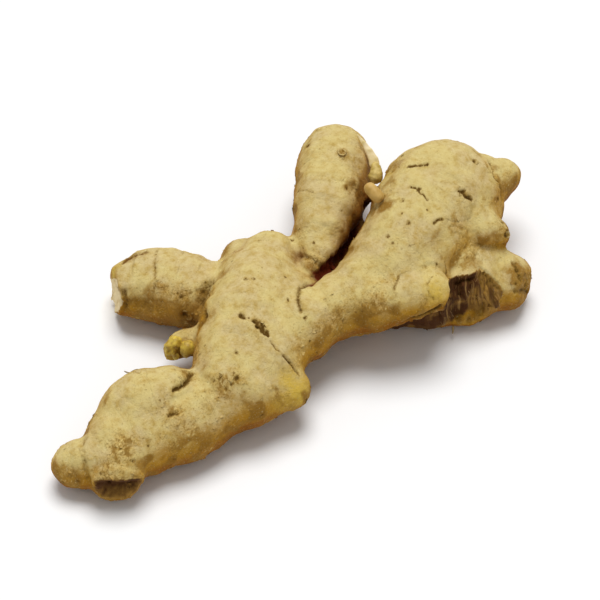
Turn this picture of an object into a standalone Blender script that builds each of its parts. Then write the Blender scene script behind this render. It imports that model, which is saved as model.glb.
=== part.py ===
"""A ginger rhizome lying on its underside: one solid of swollen lobes, fingers, buds and broken ends.

Lengths are in millimetres in the tables below and in metres in the scene. The tables draw the
rhizome in plan, +X to the right and +Y away from the reader, with heights above the ground. The
finished solid is turned so that its long axis lies along +X, and its origin is on the surface that
it rests on, under the middle of its box.
"""

import math

import bmesh
import bpy
import numpy as np
from mathutils import Matrix, Vector, noise

MM = 0.001

# Each lobe is a run of stations through its middle: x, y, height of the centre, radius.
LOBES = {
    "left_lobe": [
        (-63.2, -67.8, 13, 8), (-55.5, -63, 16, 12.1), (-49.5, -58.5, 17, 13), (-43.5, -55.5, 17, 11.4),
    ],
    "left_stub": [(-66.5, -77, 11, 8.6), (-71.3, -77.3, 10.2, 8), (-74, -77.7, 10, 7.6)],
    "scar_stub": [(-58.5, -77.5, 13, 9.9), (-60, -82.5, 10.5, 9)],
    "thumb": [
        (-58.5, -71.7, 12.5, 12.5), (-49.5, -68.2, 12.5, 12.7), (-38, -63.5, 13, 12),
        (-26.5, -54.5, 13.5, 11.9), (-16.5, -52, 15, 12), (-8.5, -50.5, 15, 9.8), (-5.5, -50.5, 15, 8.5),
    ],
    "trunk": [
        (-23, -50, 17, 13.5), (-20.5, -36.5, 18, 15.2), (-16.5, -23, 18, 15.8), (-14.5, -8.5, 18, 14.5),
        (-11.5, 1.2, 19, 10.8),
    ],
    "trunk_side": [(-25.5, -33.5, 14, 9.9), (-22, -19.5, 14, 11.2), (-20, -7.5, 14, 9.9), (-18.5, 4, 15.3, 8.8)],
    "trunk_front": [(-13, -44, 17, 13), (-9, -31, 18, 13.5), (-7.5, -19, 19, 12.5), (-9, -9, 19, 9.5)],
    "left_finger": [
        (-25, -9, 13.5, 10.4), (-33, -8.3, 13, 12.1), (-41, -6, 12.5, 13), (-49.5, -4, 12, 12.7),
        (-56, -5, 12, 11.2), (-60, -5, 11, 8.9),
    ],
    "top_finger": [
        (3, -7, 20, 4.5), (5.5, -1, 22, 6), (5.5, 6, 22.5, 8.5), (6.5, 12.5, 23, 10), (8.5, 22, 23, 12),
        (10, 32, 22.5, 12.7), (11, 43.5, 21, 13.2),
    ],
    "scale_ridge": [(16, 54.5, 18, 2.8), (19.5, 49, 18, 3.3), (22, 43.5, 18, 3.7), (23, 39, 18, 3)],
    "nub": [(21, 32.5, 20, 2.4), (24, 29, 21.5, 2.6), (26, 26.5, 22, 2.3)],
    "bridge": [
        (-8, -30, 18, 12.9), (0, -27, 19, 12.4), (8, -22, 20, 10.6), (20, -15, 21, 13.1),
        (30.5, -5, 23, 16.3), (38, 5.5, 24, 18.5),
    ],
    "bud_root": [(31, -8, 24, 14), (38, -9, 25, 10.5)],
    "front_bud": [(24, -21, 24, 9.9), (31.5, -19.5, 25, 8.6), (38, -19, 26, 7.6), (43, -19, 27, 6.5)],
    "right_lobe": [(38, 5.5, 24, 18.5), (43.5, 18, 24, 20.5), (47, 23, 24, 20.5)],
    "right_lobe_flank": [(36.8, 33.4, 23, 9.6), (33.3, 18, 22, 8.5)],
    "far_knob": [(54, 31, 24, 11), (59, 32, 24, 10), (65, 32, 24.5, 8.6), (67.6, 33.4, 24.5, 6.8)],
    "side_knob": [(54.5, 10, 24, 10.5), (60.5, 8, 26, 7.8), (63, 7.5, 25.5, 5.8)],
    "foot_lobe": [(46, -4.5, 13, 13.2), (53.5, -4, 13, 14.2), (61.5, -1, 12, 12.4), (67.7, -1.5, 11.5, 10.3)],
    "keel": [(10, -10, 12, 11.2), (21.5, -10.5, 10, 9.9), (33, -9.5, 10, 9.2), (44.5, -7.5, 11, 11.2)],
    "web": [(3.5, -1, 14, 6.6), (10, 8.5, 13, 5.9), (17, 21, 12, 4.6)],
    "yellow_bud": [(-31.5, -26, 13, 4), (-37.5, -28.5, 10, 3.9), (-43, -30.5, 8.5, 2.9)],
    "yellow_bud_top": [(-36, -27, 13, 3.6), (-41, -27.5, 12.5, 3)],
}

# Each ring is a low ridge round a lobe, this far along its run of stations.
RINGS = {
    "left_finger": [12, 21, 29],
    "top_finger": [8, 17, 26, 35, 45],
    "thumb": [8, 18, 28, 38, 48],
    "left_stub": [1, 6],
    "trunk": [12, 24, 36, 46],
    "bridge": [10, 20, 31, 42],
    "right_lobe": [10, 19],
    "front_bud": [7, 14],
    "far_knob": [3, 9],
    "side_knob": [2, 7],
    "foot_lobe": [8, 16],
}
RING_HEIGHT = 0.6
RING_WIDTH = 1.5

# Each broken end is a ball or a block that bites into a lobe: centre, size, and the way it faces.
SCAR_DISH = {"centre": (-60, -106.2, 5.8), "radius": 18}
BROKEN_FACE = {"centre": (57, -26, 11), "radius": 13}
TORN_END = {"centre": (-72.5, -7, 12), "size": 20, "facing": (-0.97, -0.2, 0.1)}
FOOT_SCAR = {"centre": (84.6, -6.3, 12), "size": 20, "facing": (0.93, -0.36, 0.1)}

# Broad and small lumps of the skin: how far apart they are and how high.
LUMPS = [(16, 0.9), (6.5, 0.35)]

LONG_AXIS_TURN = math.radians(-33)
GROUND_HEIGHT = 1.2
STATION_STEP = 1.0
CAP_STEPS = 5
CAP_ANGLE = math.radians(88)
TUBE_ROUNDNESS = 4
BALL_SEGMENTS = 40
WELD_DISTANCE = 0.01 * MM
VOXEL = 1.1 * MM
SMOOTHING_ROUNDS = 8
TRIANGLES = 8000

SKIN_COLOUR = (0.56, 0.42, 0.19, 1)
SKIN_ROUGHNESS = 0.65


def clear_scene():
    for obj in list(bpy.data.objects):
        bpy.data.objects.remove(obj)


def collection_named(name):
    made = bpy.data.collections.new(name)
    bpy.context.scene.collection.children.link(made)
    return made


def smooth_stations(stations):
    """Catmull-Rom points about a millimetre apart through the stations, as (x, y, z, radius)."""
    rows = [Vector(s) for s in stations]
    rows = [rows[0] * 2 - rows[1], *rows, rows[-1] * 2 - rows[-2]]
    points = []
    for i in range(1, len(rows) - 2):
        a, b, c, d = rows[i - 1 : i + 3]
        slope = c - a
        bend = a * 2 - b * 5 + c * 4 - d
        twist = b * 3 - a - c * 3 + d
        steps = math.ceil((c - b).to_3d().length / STATION_STEP)
        for t in (step / steps for step in range(steps)):
            points.append((b * 2 + slope * t + bend * t**2 + twist * t**3) / 2)
    points.append(rows[-2])
    return points


def rounded_cap(end, inner):
    """Shrinking stations that close an end with half a ball."""
    centre, radius = end.to_3d(), end.w
    outward = (centre - inner.to_3d()).normalized()
    made = []
    for step in range(1, CAP_STEPS + 1):
        angle = CAP_ANGLE * step / CAP_STEPS
        made.append(Vector((*(centre + outward * radius * math.sin(angle)), radius * math.cos(angle))))
    return made


def lobe_mesh(name, stations, collection):
    """A lobe as a closed tube mesh whose thickness follows its stations."""
    points = smooth_stations(stations)
    points = [*reversed(rounded_cap(points[0], points[1])), *points, *rounded_cap(points[-1], points[-2])]
    curve = bpy.data.curves.new(name, "CURVE")
    curve.dimensions = "3D"
    curve.bevel_depth = MM
    curve.bevel_resolution = TUBE_ROUNDNESS
    curve.use_fill_caps = True
    spline = curve.splines.new("POLY")
    spline.points.add(len(points) - 1)
    for point, place in zip(spline.points, points):
        point.co = (*(place.to_3d() * MM), 1)
        point.radius = place.w
    guide = bpy.data.objects.new(name, curve)
    collection.objects.link(guide)
    graph = bpy.context.evaluated_depsgraph_get()
    mesh = bpy.data.meshes.new_from_object(guide.evaluated_get(graph))
    bpy.data.objects.remove(guide)
    bpy.data.curves.remove(curve)
    welded = bmesh.new()
    welded.from_mesh(mesh)
    bmesh.ops.remove_doubles(welded, verts=welded.verts, dist=WELD_DISTANCE)
    welded.to_mesh(mesh)
    welded.free()
    return mesh


def grown_together(collection):
    """One object that holds every lobe's tube, fused and softened where they meet."""
    body = bmesh.new()
    for name, stations in LOBES.items():
        mesh = lobe_mesh(name, stations, collection)
        body.from_mesh(mesh)
        bpy.data.meshes.remove(mesh)
    mesh = bpy.data.meshes.new("ginger_rhizome")
    body.to_mesh(mesh)
    body.free()
    rhizome = bpy.data.objects.new("ginger_rhizome", mesh)
    collection.objects.link(rhizome)
    fuse = rhizome.modifiers.new("fuse", "REMESH")
    fuse.mode = "VOXEL"
    fuse.voxel_size = VOXEL
    soften = rhizome.modifiers.new("soften", "SMOOTH")
    soften.factor = 0.5
    soften.iterations = SMOOTHING_ROUNDS
    return rhizome


def apply_modifiers(obj):
    graph = bpy.context.evaluated_depsgraph_get()
    mesh = bpy.data.meshes.new_from_object(obj.evaluated_get(graph))
    old = obj.data
    obj.modifiers.clear()
    obj.data = mesh
    bpy.data.meshes.remove(old)
    mesh.name = obj.name


def ring_relief(places):
    """Height in mm of the rings at each place, read off the lobe whose skin lies nearest."""
    nearest = np.full(len(places), np.inf)
    relief = np.zeros(len(places))
    for name, stations in LOBES.items():
        run = np.array([tuple(p) for p in smooth_stations(stations)])
        along = np.r_[0, np.cumsum(np.linalg.norm(np.diff(run[:, :3], axis=0), axis=1))]
        gaps = np.linalg.norm(places[:, None, :] - run[None, :, :3], axis=2)
        closest = gaps.argmin(axis=1)
        depth = gaps[np.arange(len(places)), closest] - run[closest, 3]
        ours = depth < nearest
        nearest[ours] = depth[ours]
        height = np.zeros(len(places))
        for ring in RINGS.get(name, []):
            height += RING_HEIGHT * np.exp(-(((along[closest] - ring) / RING_WIDTH) ** 2))
        relief[ours] = height[ours]
    return relief


def raise_skin(rhizome):
    """Raises the rings and the lumps of the skin along its own normals."""
    mesh = rhizome.data
    places = np.array([v.co[:] for v in mesh.vertices]) / MM
    normals = np.array([v.normal[:] for v in mesh.vertices])
    heights = ring_relief(places)
    for spacing, lump_height in LUMPS:
        heights += [lump_height * noise.noise(Vector(place) / spacing) for place in places]
    mesh.vertices.foreach_set("co", ((places + normals * heights[:, None]) * MM).ravel())
    mesh.update()


def ball_cutter(name, collection, centre, radius):
    ball = bmesh.new()
    bmesh.ops.create_uvsphere(
        ball, u_segments=BALL_SEGMENTS, v_segments=BALL_SEGMENTS // 2, radius=radius * MM,
    )
    return cutter(name, collection, ball, centre)


def block_cutter(name, collection, centre, size, facing):
    block = bmesh.new()
    bmesh.ops.create_cube(block, size=size * MM)
    block.transform(Vector(facing).to_track_quat("X", "Z").to_matrix().to_4x4())
    return cutter(name, collection, block, centre)


def cutter(name, collection, shape, centre):
    mesh = bpy.data.meshes.new(name)
    shape.to_mesh(mesh)
    shape.free()
    made = bpy.data.objects.new(name, mesh)
    made.location = Vector(centre) * MM
    made.hide_render = True
    made.display_type = "WIRE"
    collection.objects.link(made)
    return made


def bite(rhizome, tool):
    cut = rhizome.modifiers.new(tool.name, "BOOLEAN")
    cut.operation = "DIFFERENCE"
    cut.object = tool


def thin_out(rhizome):
    """Fewer triangles, with the forms kept."""
    triangles = sum(len(face.vertices) - 2 for face in rhizome.data.polygons)
    thin = rhizome.modifiers.new("thin", "DECIMATE")
    thin.ratio = TRIANGLES / triangles


def lay_down(rhizome):
    """Presses the underside flat on the ground, turns the long axis to +X and centres the box."""
    body = bmesh.new()
    body.from_mesh(rhizome.data)
    bmesh.ops.triangulate(body, faces=body.faces)
    for vert in body.verts:
        vert.co.z = max(vert.co.z, GROUND_HEIGHT * MM)
    body.transform(Matrix.Rotation(LONG_AXIS_TURN, 4, "Z"))
    corners = np.array([v.co[:] for v in body.verts])
    middle = (corners.min(axis=0) + corners.max(axis=0)) / 2
    body.transform(Matrix.Translation((-middle[0], -middle[1], -GROUND_HEIGHT * MM)))
    body.to_mesh(rhizome.data)
    body.free()
    rhizome.data.shade_smooth()
    rhizome.data.update()


def skin_material():
    skin = bpy.data.materials.new("ginger_skin")
    skin.use_nodes = True
    shader = skin.node_tree.nodes["Principled BSDF"]
    shader.inputs["Base Color"].default_value = SKIN_COLOUR
    shader.inputs["Roughness"].default_value = SKIN_ROUGHNESS
    shader.inputs["Metallic"].default_value = 0
    return skin


def main():
    clear_scene()
    parts = collection_named("ginger_root")
    cutters = collection_named("broken_ends")
    rhizome = grown_together(parts)
    apply_modifiers(rhizome)
    raise_skin(rhizome)
    bite(rhizome, ball_cutter("scar_dish", cutters, **SCAR_DISH))
    bite(rhizome, ball_cutter("broken_face", cutters, **BROKEN_FACE))
    bite(rhizome, block_cutter("torn_end", cutters, **TORN_END))
    bite(rhizome, block_cutter("foot_scar", cutters, **FOOT_SCAR))
    apply_modifiers(rhizome)
    thin_out(rhizome)
    apply_modifiers(rhizome)
    lay_down(rhizome)
    rhizome.data.materials.append(skin_material())


main()
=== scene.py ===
# Fresh ginger root: dry corky skin, buds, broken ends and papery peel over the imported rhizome.
import math

import bmesh
import bpy
import numpy as np
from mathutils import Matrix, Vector, noise
from mathutils.bvhtree import BVHTree


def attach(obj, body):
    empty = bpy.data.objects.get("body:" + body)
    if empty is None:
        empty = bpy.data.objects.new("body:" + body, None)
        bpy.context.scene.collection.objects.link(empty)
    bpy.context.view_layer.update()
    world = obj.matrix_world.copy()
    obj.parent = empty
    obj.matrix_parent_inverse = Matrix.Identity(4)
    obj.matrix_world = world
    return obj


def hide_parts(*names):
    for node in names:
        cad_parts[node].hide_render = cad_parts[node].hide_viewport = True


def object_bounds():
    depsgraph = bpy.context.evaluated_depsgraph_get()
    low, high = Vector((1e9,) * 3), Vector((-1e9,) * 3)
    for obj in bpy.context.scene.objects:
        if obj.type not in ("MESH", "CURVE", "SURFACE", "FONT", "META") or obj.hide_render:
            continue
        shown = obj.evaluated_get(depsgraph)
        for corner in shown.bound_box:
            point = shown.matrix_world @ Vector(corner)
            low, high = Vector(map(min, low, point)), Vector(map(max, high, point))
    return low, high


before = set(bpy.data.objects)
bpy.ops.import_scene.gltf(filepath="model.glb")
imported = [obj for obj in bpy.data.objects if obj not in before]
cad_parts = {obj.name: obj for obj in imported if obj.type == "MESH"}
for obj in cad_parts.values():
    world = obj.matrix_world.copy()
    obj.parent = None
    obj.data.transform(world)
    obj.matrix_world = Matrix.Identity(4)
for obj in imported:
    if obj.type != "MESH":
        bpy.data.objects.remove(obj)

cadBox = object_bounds()
mm = 0.001
noise.seed_set(1)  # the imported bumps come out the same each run


# Small helpers

def linear(hexColour):
    channels = [int(hexColour[i:i + 2], 16) / 255 for i in (1, 3, 5)]
    return (*[c / 12.92 if c <= 0.04045 else ((c + 0.055) / 1.055) ** 2.4 for c in channels], 1)


def addNode(tree, kind, inputs=None, **settings):  # a node given as an input stands for its first output
    node = tree.nodes.new(kind)
    for name, value in settings.items():
        setattr(node, name, value)
    for socket, value in (inputs or {}).items():
        if isinstance(value, bpy.types.Node):
            value = value.outputs[0]
        if isinstance(value, bpy.types.NodeSocket):
            tree.links.new(value, node.inputs[socket])
        else:
            node.inputs[socket].default_value = value
    return node


def addObject(name, data):
    made = bpy.data.objects.new(name, data)
    bpy.context.scene.collection.objects.link(made)
    return made


def applyModifiers(obj):  # what they make becomes the object's own plain mesh
    graph = bpy.context.evaluated_depsgraph_get()
    obj.data = bpy.data.meshes.new_from_object(obj.evaluated_get(graph))
    obj.modifiers.clear()
    obj.data.name = obj.name


def surfaceTree(mesh):  # for finding places on the mesh
    return BVHTree.FromPolygons([v.co for v in mesh.vertices], [p.vertices for p in mesh.polygons])


def keepInBox(mesh):  # no point stands outside the CAD model's own box
    places = np.empty(len(mesh.vertices) * 3)
    mesh.vertices.foreach_get("co", places)
    mesh.vertices.foreach_set("co", np.clip(places.reshape(-1, 3), cadBox[0], cadBox[1]).ravel())
    mesh.update()


def smoothStep(low, high, value):
    t = np.clip((value - low) / (high - low), 0, 1)
    return t * t * (3 - 2 * t)


def bell(value):  # 1 at 0, falling to nothing by about 2
    return np.exp(-value ** 2)


def noiseAt(places, size, shift=0):  # -1 to 1 at each place, with lumps of about that size in mm
    offset = Vector((shift, shift * 0.7, shift * 1.3))
    return np.array([noise.noise(Vector(place) / size + offset) for place in places])


def newMaterial(name, roughness):
    material = bpy.data.materials.new(name)
    material.use_nodes = True
    shader = material.node_tree.nodes["Principled BSDF"]
    shader.inputs["Roughness"].default_value = roughness
    return material, shader


def addField(mesh, name, values, kind="FLOAT", part="value"):  # one value or vector on each point
    layer = mesh.attributes.new(name, kind, "POINT")
    layer.data.foreach_set(part, np.ravel(values).astype(np.float32))


# The camera, and how a pixel of the photo finds the root

photoView = {
    "azimuth": -33,  # degrees round the root
    "elevation": 50,  # degrees above the table
    "distance": 1.65,  # metres, a long lens from well back
    "aim": (0.01525, 0.00329, -0.0017),
    "width": 0.2015,  # metres across the picture at the aim
    "pixels": 600,
    "sensor": 36,
    "missReach": 24,  # pixels round a missed one that are tried
}


def viewAxes():
    a, e = math.radians(photoView["azimuth"]), math.radians(photoView["elevation"])
    back = Vector((math.sin(a) * math.cos(e), -math.cos(a) * math.cos(e), math.sin(e)))
    right = Vector((math.cos(a), math.sin(a), 0))
    return back, right, back.cross(right)


def makeCamera():
    back = viewAxes()[0]
    data = bpy.data.cameras.new("photoCamera")
    data.sensor_width = photoView["sensor"]
    data.lens = photoView["sensor"] * photoView["distance"] / photoView["width"]
    camera = addObject("photoCamera", data)
    camera.location = Vector(photoView["aim"]) + back * photoView["distance"]
    camera.rotation_euler = back.to_track_quat("Z", "Y").to_euler()
    bpy.context.scene.camera = camera


def photoRay(px, py):  # where the camera is, and the way to a pixel of the photo
    back, right, up = viewAxes()
    start = Vector(photoView["aim"]) + back * photoView["distance"]
    size = photoView["width"] / photoView["pixels"]
    middle = photoView["pixels"] / 2
    way = right * (px - middle) * size + up * (middle - py) * size - back * photoView["distance"]
    return start, way.normalized()


def photoPoint(px, py, height):  # the pixel's place at that height in mm, as mm
    start, way = photoRay(px, py)
    return (start + way * ((height * mm - start.z) / way.z)) / mm


def photoPixels(places):  # where the camera sees each place, and how far off it is in mm
    back, right, up = viewAxes()
    start = Vector(photoView["aim"]) + back * photoView["distance"]
    gap = np.array(places) * mm - np.array(start)
    depth = -(gap @ np.array(back))
    size = photoView["width"] / photoView["pixels"] * depth / photoView["distance"]
    middle = photoView["pixels"] / 2
    return middle + gap @ np.array(right) / size, middle - gap @ np.array(up) / size, depth / mm


def onSkin(tree, px, py):  # the pixel's place on the skin as mm, or the nearest one if it misses
    for reach in range(photoView["missReach"]):
        for turn in range(8 if reach else 1):
            way = turn * math.pi / 4
            place = tree.ray_cast(*photoRay(px + reach * math.cos(way), py + reach * math.sin(way)))[0]
            if place is not None:
                return place / mm
    raise ValueError(f"no skin near pixel {px}, {py}")


def skinPath(tree, pixels):
    return [onSkin(tree, *pixel) for pixel in pixels]


def skinGap(places, tree, px, py):  # how far each place is from the pixel's own, in mm
    return np.linalg.norm(places - np.array(onSkin(tree, px, py)), axis=1)


# The skin: a fine soft copy of the solid, carved with rings, wrinkles, cracks and pits

skinShape = {
    "grid": 0.69,  # mm between points
    "softening": 18,  # rounds of smoothing
    "lumps": [(14, 0.5), (6, 0.33), (3, 0.18)],  # size and height in mm
    "wrinkleSpacing": 2.3,
    "wrinkleLength": 8.0,
    "wrinkleHeight": 0.08,
    "ringHeight": 0.3,
    "ringWidth": 0.75,
    "warts": {"size": 1.9, "height": 0.55, "level": 0.3},  # mm, and the share of a bump that is skin level
    "beads": {"size": 2.7, "height": 0.9, "level": 0.4},
    "fleshHeight": 0.35,  # mm, on pale flesh
    "fleshSize": 1.5,
    "lightRays": 24,
    "lightReach": 26,  # mm
    "lightLift": 0.3,  # mm above the skin where a ray starts
    "lightLowest": 0.94,  # 1 would reach the level of the skin itself
}

# How a crack or pit is cut. Depths are shares of its own depth or radius, and places are in half
# widths.
cutShape = {
    "fraying": 0.5, "frayingSize": 1.3,  # how far an edge wanders, and over how many mm
    "lip": 0.2, "lipDeepest": 0.8, "lipAt": 2.2, "darkWidth": 0.75,
    "pitDepth": 0.5, "pitWidth": 1.2, "rim": 0.15, "rimAt": 1.4, "rimWidth": 2,
    "pitDark": 0.72, "pitDarkWidth": 0.9,
}

# Marks on the hidden half and on the flanks: noise size in mm and its shift, where it starts and is
# full, and most.
weathering = {
    "hidden": {
        "rough": (13, 53, 0.15, 0.45, 0.8), "brown": (11, 59, 0.3, 0.55, 0.6),
        "dark": (2.6, 61, 0.52, 0.62, 0.7),
    },
    "flank": {"rough": (8, 67, -0.05, 0.35, 0.65), "brown": (5, 73, 0.0, 0.35, 0.95)},
}

# Each finger: radius in mm, how strong its rings are, how far along they stand in mm, and its
# middle line in photo pixels with heights in mm.
fingers = {
    "leftStub": (8, 0.7, [5, 9], [(98, 457, 10), (62, 467, 8)]),
    "scarStub": (9, 0.5, [7], [(122, 452, 12), (118, 490, 8)]),
    "leftLobe": (13, 0.5, [9, 19], [(100, 430, 13), (135, 410, 16), (185, 396, 17)]),
    "thumb": (12, 0.7, [15, 33, 51, 57], [
        (110, 446, 12), (150, 434, 13), (185, 422, 13), (222, 402, 14), (250, 392, 15), (300, 388, 15),
    ]),
    "trunk": (16, 0.3, [9, 20, 31, 43, 53], [
        (232, 385, 17), (246, 345, 18), (254, 310, 18), (258, 280, 18), (266, 240, 19),
    ]),
    "leftFinger": (12.5, 0.7, [5, 12, 27], [(215, 292, 13), (160, 287, 12), (104, 291, 11)]),
    "topFinger": (12, 0.55, [15, 24, 32, 41, 50], [
        (310, 277, 20), (316, 245, 22), (326, 204, 23), (334, 158, 21), (338, 120, 20),
    ]),
    "bridge": (14, 0.5, [16, 26, 48], [
        (280, 333, 18), (325, 312, 20), (361, 294, 21), (393, 267, 23), (418, 236, 24),
    ]),
    "rightLobe": (19, 0.3, [6, 17], [(418, 236, 24), (445, 195, 24), (462, 160, 24)]),
    "frontBud": (8, 0.6, [5], [(380, 302, 24), (448, 290, 27)]),
    "farKnob": (9, 0.5, [6], [(468, 184, 24), (526, 174, 24)]),
    "sideKnob": (8, 0.2, [4], [(462, 228, 24), (512, 230, 25)]),
    "footLobe": (12.5, 0.4, [17], [(440, 287, 13), (536, 278, 11)]),
}

# Cracks, creases and gouges: half width and depth in mm, how dark and how maroon, and photo pixels
# along each. The dark is the mark's own colour on the cracks and gouges, and painted shade where it
# lies in a crevice or under an edge (lobeCrevice, keelUndercut, faceOverhang, tornShade). The maroon
# is painted shade in the deep gap by the top finger (fingerGap, gapTip), and the scale edge's own
# orange-brown on fingerScale.
cracksAndCreviceShade = {
    "lobeSplit": (0.5, 0.55, 0.9, 0, [(408, 166.5), (418, 164.8), (427, 164)]),
    "lobeSplitEnd": (0.3, 0.25, 0.3, 0, [(427, 164), (438, 162.5)]),
    "lobeCurve": (0.42, 0.4, 0.85, 0, [(410.5, 187), (416, 188.5), (420, 189)]),
    "lobeCurveB": (0.36, 0.4, 0.75, 0, [(417, 191), (423, 194.5), (428, 200)]),
    "lobeGouge": (0.5, 0.7, 0.8, 0, [(458, 191), (463, 193), (465, 197), (471, 200)]),
    "lobeWrinkleA": (0.35, 0.3, 0.25, 0, [(446, 219), (457, 222), (469, 220)]),
    "lobeWrinkleB": (0.35, 0.3, 0.25, 0, [(450, 226), (460, 227), (470, 232)]),
    "lobeWrinkleC": (0.35, 0.3, 0.2, 0, [(455, 232), (463, 236), (470, 242)]),
    "lobeWrinkleD": (0.3, 0.2, 0.15, 0, [(447, 160), (458, 162), (468, 170)]),
    "foldA": (0.4, 0.4, 0.5, 0, [(470, 252), (474, 255), (478, 254)]),
    "lobeNick": (0.5, 0.4, 0.8, 0, [(434, 223), (438, 220), (442, 219)]),
    "knobCrease": (0.9, 0.8, 0.5, 0, [(490, 163), (495, 178), (501, 190), (502, 199)]),
    "sideKnobCrease": (1.4, 0.7, 0.1, 0, [(474, 209), (470, 222), (474, 241)]),
    "sideKnobCreaseB": (1.3, 1.0, 0.3, 0, [(480, 246), (492, 247), (504, 246)]),
    "trunkGouge": (0.62, 0.8, 0.9, 0, [
        (253, 322.5), (257, 325), (256, 328), (261, 329), (261, 333), (267, 336),
    ]),
    "trunkGougeB": (0.42, 0.6, 0.85, 0, [(259, 323), (263, 327), (262, 331), (267, 332), (268, 337)]),
    "trunkNick": (0.7, 0.5, 0.75, 0, [(240, 316), (244, 319)]),
    "thumbCrease": (0.45, 0.9, 0.62, 0, [(270, 342), (276, 349), (287, 359), (293, 366), (298, 374)]),
    "thumbCreaseEnd": (0.36, 0.7, 0.9, 0, [(283, 356), (291, 364), (298.5, 375)]),
    "bridgeCrease": (0.6, 0.8, 0.6, 0, [
        (308, 285), (301.5, 287), (298.3, 294), (298, 301), (301, 312),
    ]),
    "trunkLine": (0.5, 0.2, 0.2, 0, [(222, 295), (241, 293), (256, 297), (272, 299)]),
    "trunkLineB": (0.4, 0.15, 0.2, 0, [(272, 300), (273, 317)]),
    "lobeCrevice": (0.75, 1.3, 0.75, 0, [(191, 374), (188, 381), (182, 386), (174, 390)]),
    "capCrack": (0.4, 0.3, 0.4, 0, [(258, 240), (269, 240)]),
    "leftGouge": (0.6, 0.6, 0.7, 0, [(168, 416), (173, 414), (178, 413)]),
    "leftLine": (0.5, 0.25, 0.12, 0, [(125, 398), (135, 405), (144, 409), (153, 416)]),
    "stubCrease": (1.0, 0.9, 0.4, 0, [(84, 441), (84, 462), (90, 482)]),
    "fingerRing": (0.5, 0.4, 0.45, 0, [(157, 251), (155, 262), (155, 275), (155, 288), (153, 300)]),
    "fingerCrease": (1.5, 1.6, 0.55, 0, [(209, 283), (203, 292), (202, 306), (204, 318), (199, 330)]),
    "fingerShelf": (2.4, 0.7, 0.3, 0, [(124, 304), (134, 303), (146, 304)]),
    "topLine": (0.4, 0.22, 0.45, 0, [(297, 191.5), (305, 190), (313, 192.5)]),
    "topLineB": (0.6, 0.25, 0.1, 0, [(324, 226), (334, 238)]),
    "cuff": (0.5, 0.5, 0.4, 0, [(301, 257), (309, 258), (317, 264), (324, 269)]),
    "cuffB": (0.4, 0.3, 0.35, 0, [(303, 248), (307, 255), (308, 262)]),
    # The deep gap by the top finger: its maroon is painted shade.
    "fingerGap": (2.4, 3.2, 0, 1, [
        (321, 276.5), (329, 271), (337, 263), (344, 252), (352, 238), (359, 224), (364, 210),
    ]),
    "gapTip": (1.1, 2.0, 0, 0.8, [(310, 284.5), (316, 281), (324, 275.5)]),
    "peelCrease": (0.5, 0.7, 0.6, 0, [(353, 129), (362, 142), (369, 154), (371, 168), (371, 179)]),
    "bridgeRing": (0.45, 0.4, 0.55, 0, [(399, 276), (394, 289), (393, 312)]),
    "budLineA": (0.35, 0.35, 0.6, 0, [(436, 263), (447, 277)]),
    "budLineB": (0.35, 0.3, 0.5, 0, [(445, 262), (447, 274)]),
    "budFace": (0.4, 0.3, 0.4, 0, [(432, 277), (427, 285), (429, 295), (434, 300)]),
    "budHood": (0.7, 0.5, 0.25, 0, [(424, 268), (432, 265), (441, 268), (448, 279)]),
    "keelUndercut": (0.75, 1.5, 0.95, 0, [
        (364, 337.5), (381, 331.5), (401, 323.5), (415, 317.5), (428, 312.5), (440, 306),
    ]),
    "faceOverhang": (0.9, 1.8, 0.2, 0, [(450, 285), (458, 281), (468, 279), (476, 277)]),
    "tornFold": (1.5, 1.3, 0, 0, [(109.5, 292), (111, 298), (110.5, 304)]),
    "tornShade": (1.2, 0.7, 0.5, 0, [(123.5, 292), (125, 300), (125, 310)]),
    "faceCreaseA": (0.8, 1.1, 0, 0, [(458, 285), (460, 300), (458, 318)]),
    "faceCreaseB": (0.8, 1.2, 0.3, 0, [(470, 280), (472, 300), (469, 320)]),
    "faceCreaseC": (0.7, 1.0, 0.4, 0, [(482, 276), (487, 292), (481, 313)]),
    "faceCreaseD": (0.6, 0.8, 0.35, 0, [(490, 283), (496, 296), (491, 308)]),
    "fingerScale": (0.7, 0.35, 0.55, 0.45, [(123, 264), (129, 259.5), (137, 256), (147, 253)]),
    "wispNotch": (0.5, 0.5, 0.4, 0, [(132, 371), (139, 373)]),
    "footDark": (0.9, 0.5, 0.55, 0, [(514, 262), (517, 270), (520, 276)]),
    "footDarkB": (0.9, 0.6, 0.6, 0, [(515, 292), (522, 290), (529, 291)]),
    "footSeam": (0.5, 0.5, 0.5, 0, [(484, 272), (492, 281), (499, 289)]),
}

# Raised edges: half width and height in mm, and photo pixels along each.
ridges = {
    "cuffEdge": (0.7, 0.8, [(303, 251), (312, 255), (320, 260), (327, 265)]),
    "footRidge": (0.7, 0.6, [(480, 266), (490, 274), (500, 284), (503, 290)]),
    "scarRim": (1.3, 0.9, [(95, 482), (98, 474), (108, 470), (125, 471), (142, 475), (147, 481)]),
    "tornRim": (0.6, 0.6, [(119, 279), (122, 290), (122, 302), (121, 313)]),
    "scaleEdge": (0.6, 0.5, [(127, 260), (136, 255), (158, 250)]),
    "thumbStep": (1.6, 0.7, [(228, 325), (246, 324), (258, 331), (268, 342), (280, 357), (294, 375)]),
    "budShoulder": (5.0, 0.4, [(402, 300), (420, 296), (436, 292)]),
    "eyeNub": (1.5, 1.1, [(351, 182), (355, 184)]),
    "eyeRing": (1.7, 0.7, [(342, 152), (342.5, 152.5)]),
    "creviceLobe": (3.0, 1.0, [(172, 374), (181, 375)]),
    "fingerRoot": (3.2, 2.0, [(308, 266), (309, 278)]),
    "underEdge": (0.7, 0.5, [(376, 333), (401, 319), (420, 310), (436, 302), (446, 297)]),
    "scarUpperRim": (0.6, 0.7, [(97, 479), (108, 477), (120, 477), (140, 475)]),
    "faceFoldA": (0.6, 0.9, [(463, 284), (466, 300), (463, 318)]),
    "faceFoldB": (0.8, 0.9, [(476, 277), (479, 296), (475, 318)]),
    "smallBump": (1.5, 0.7, [(470, 256), (472, 252)]),
}

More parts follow.
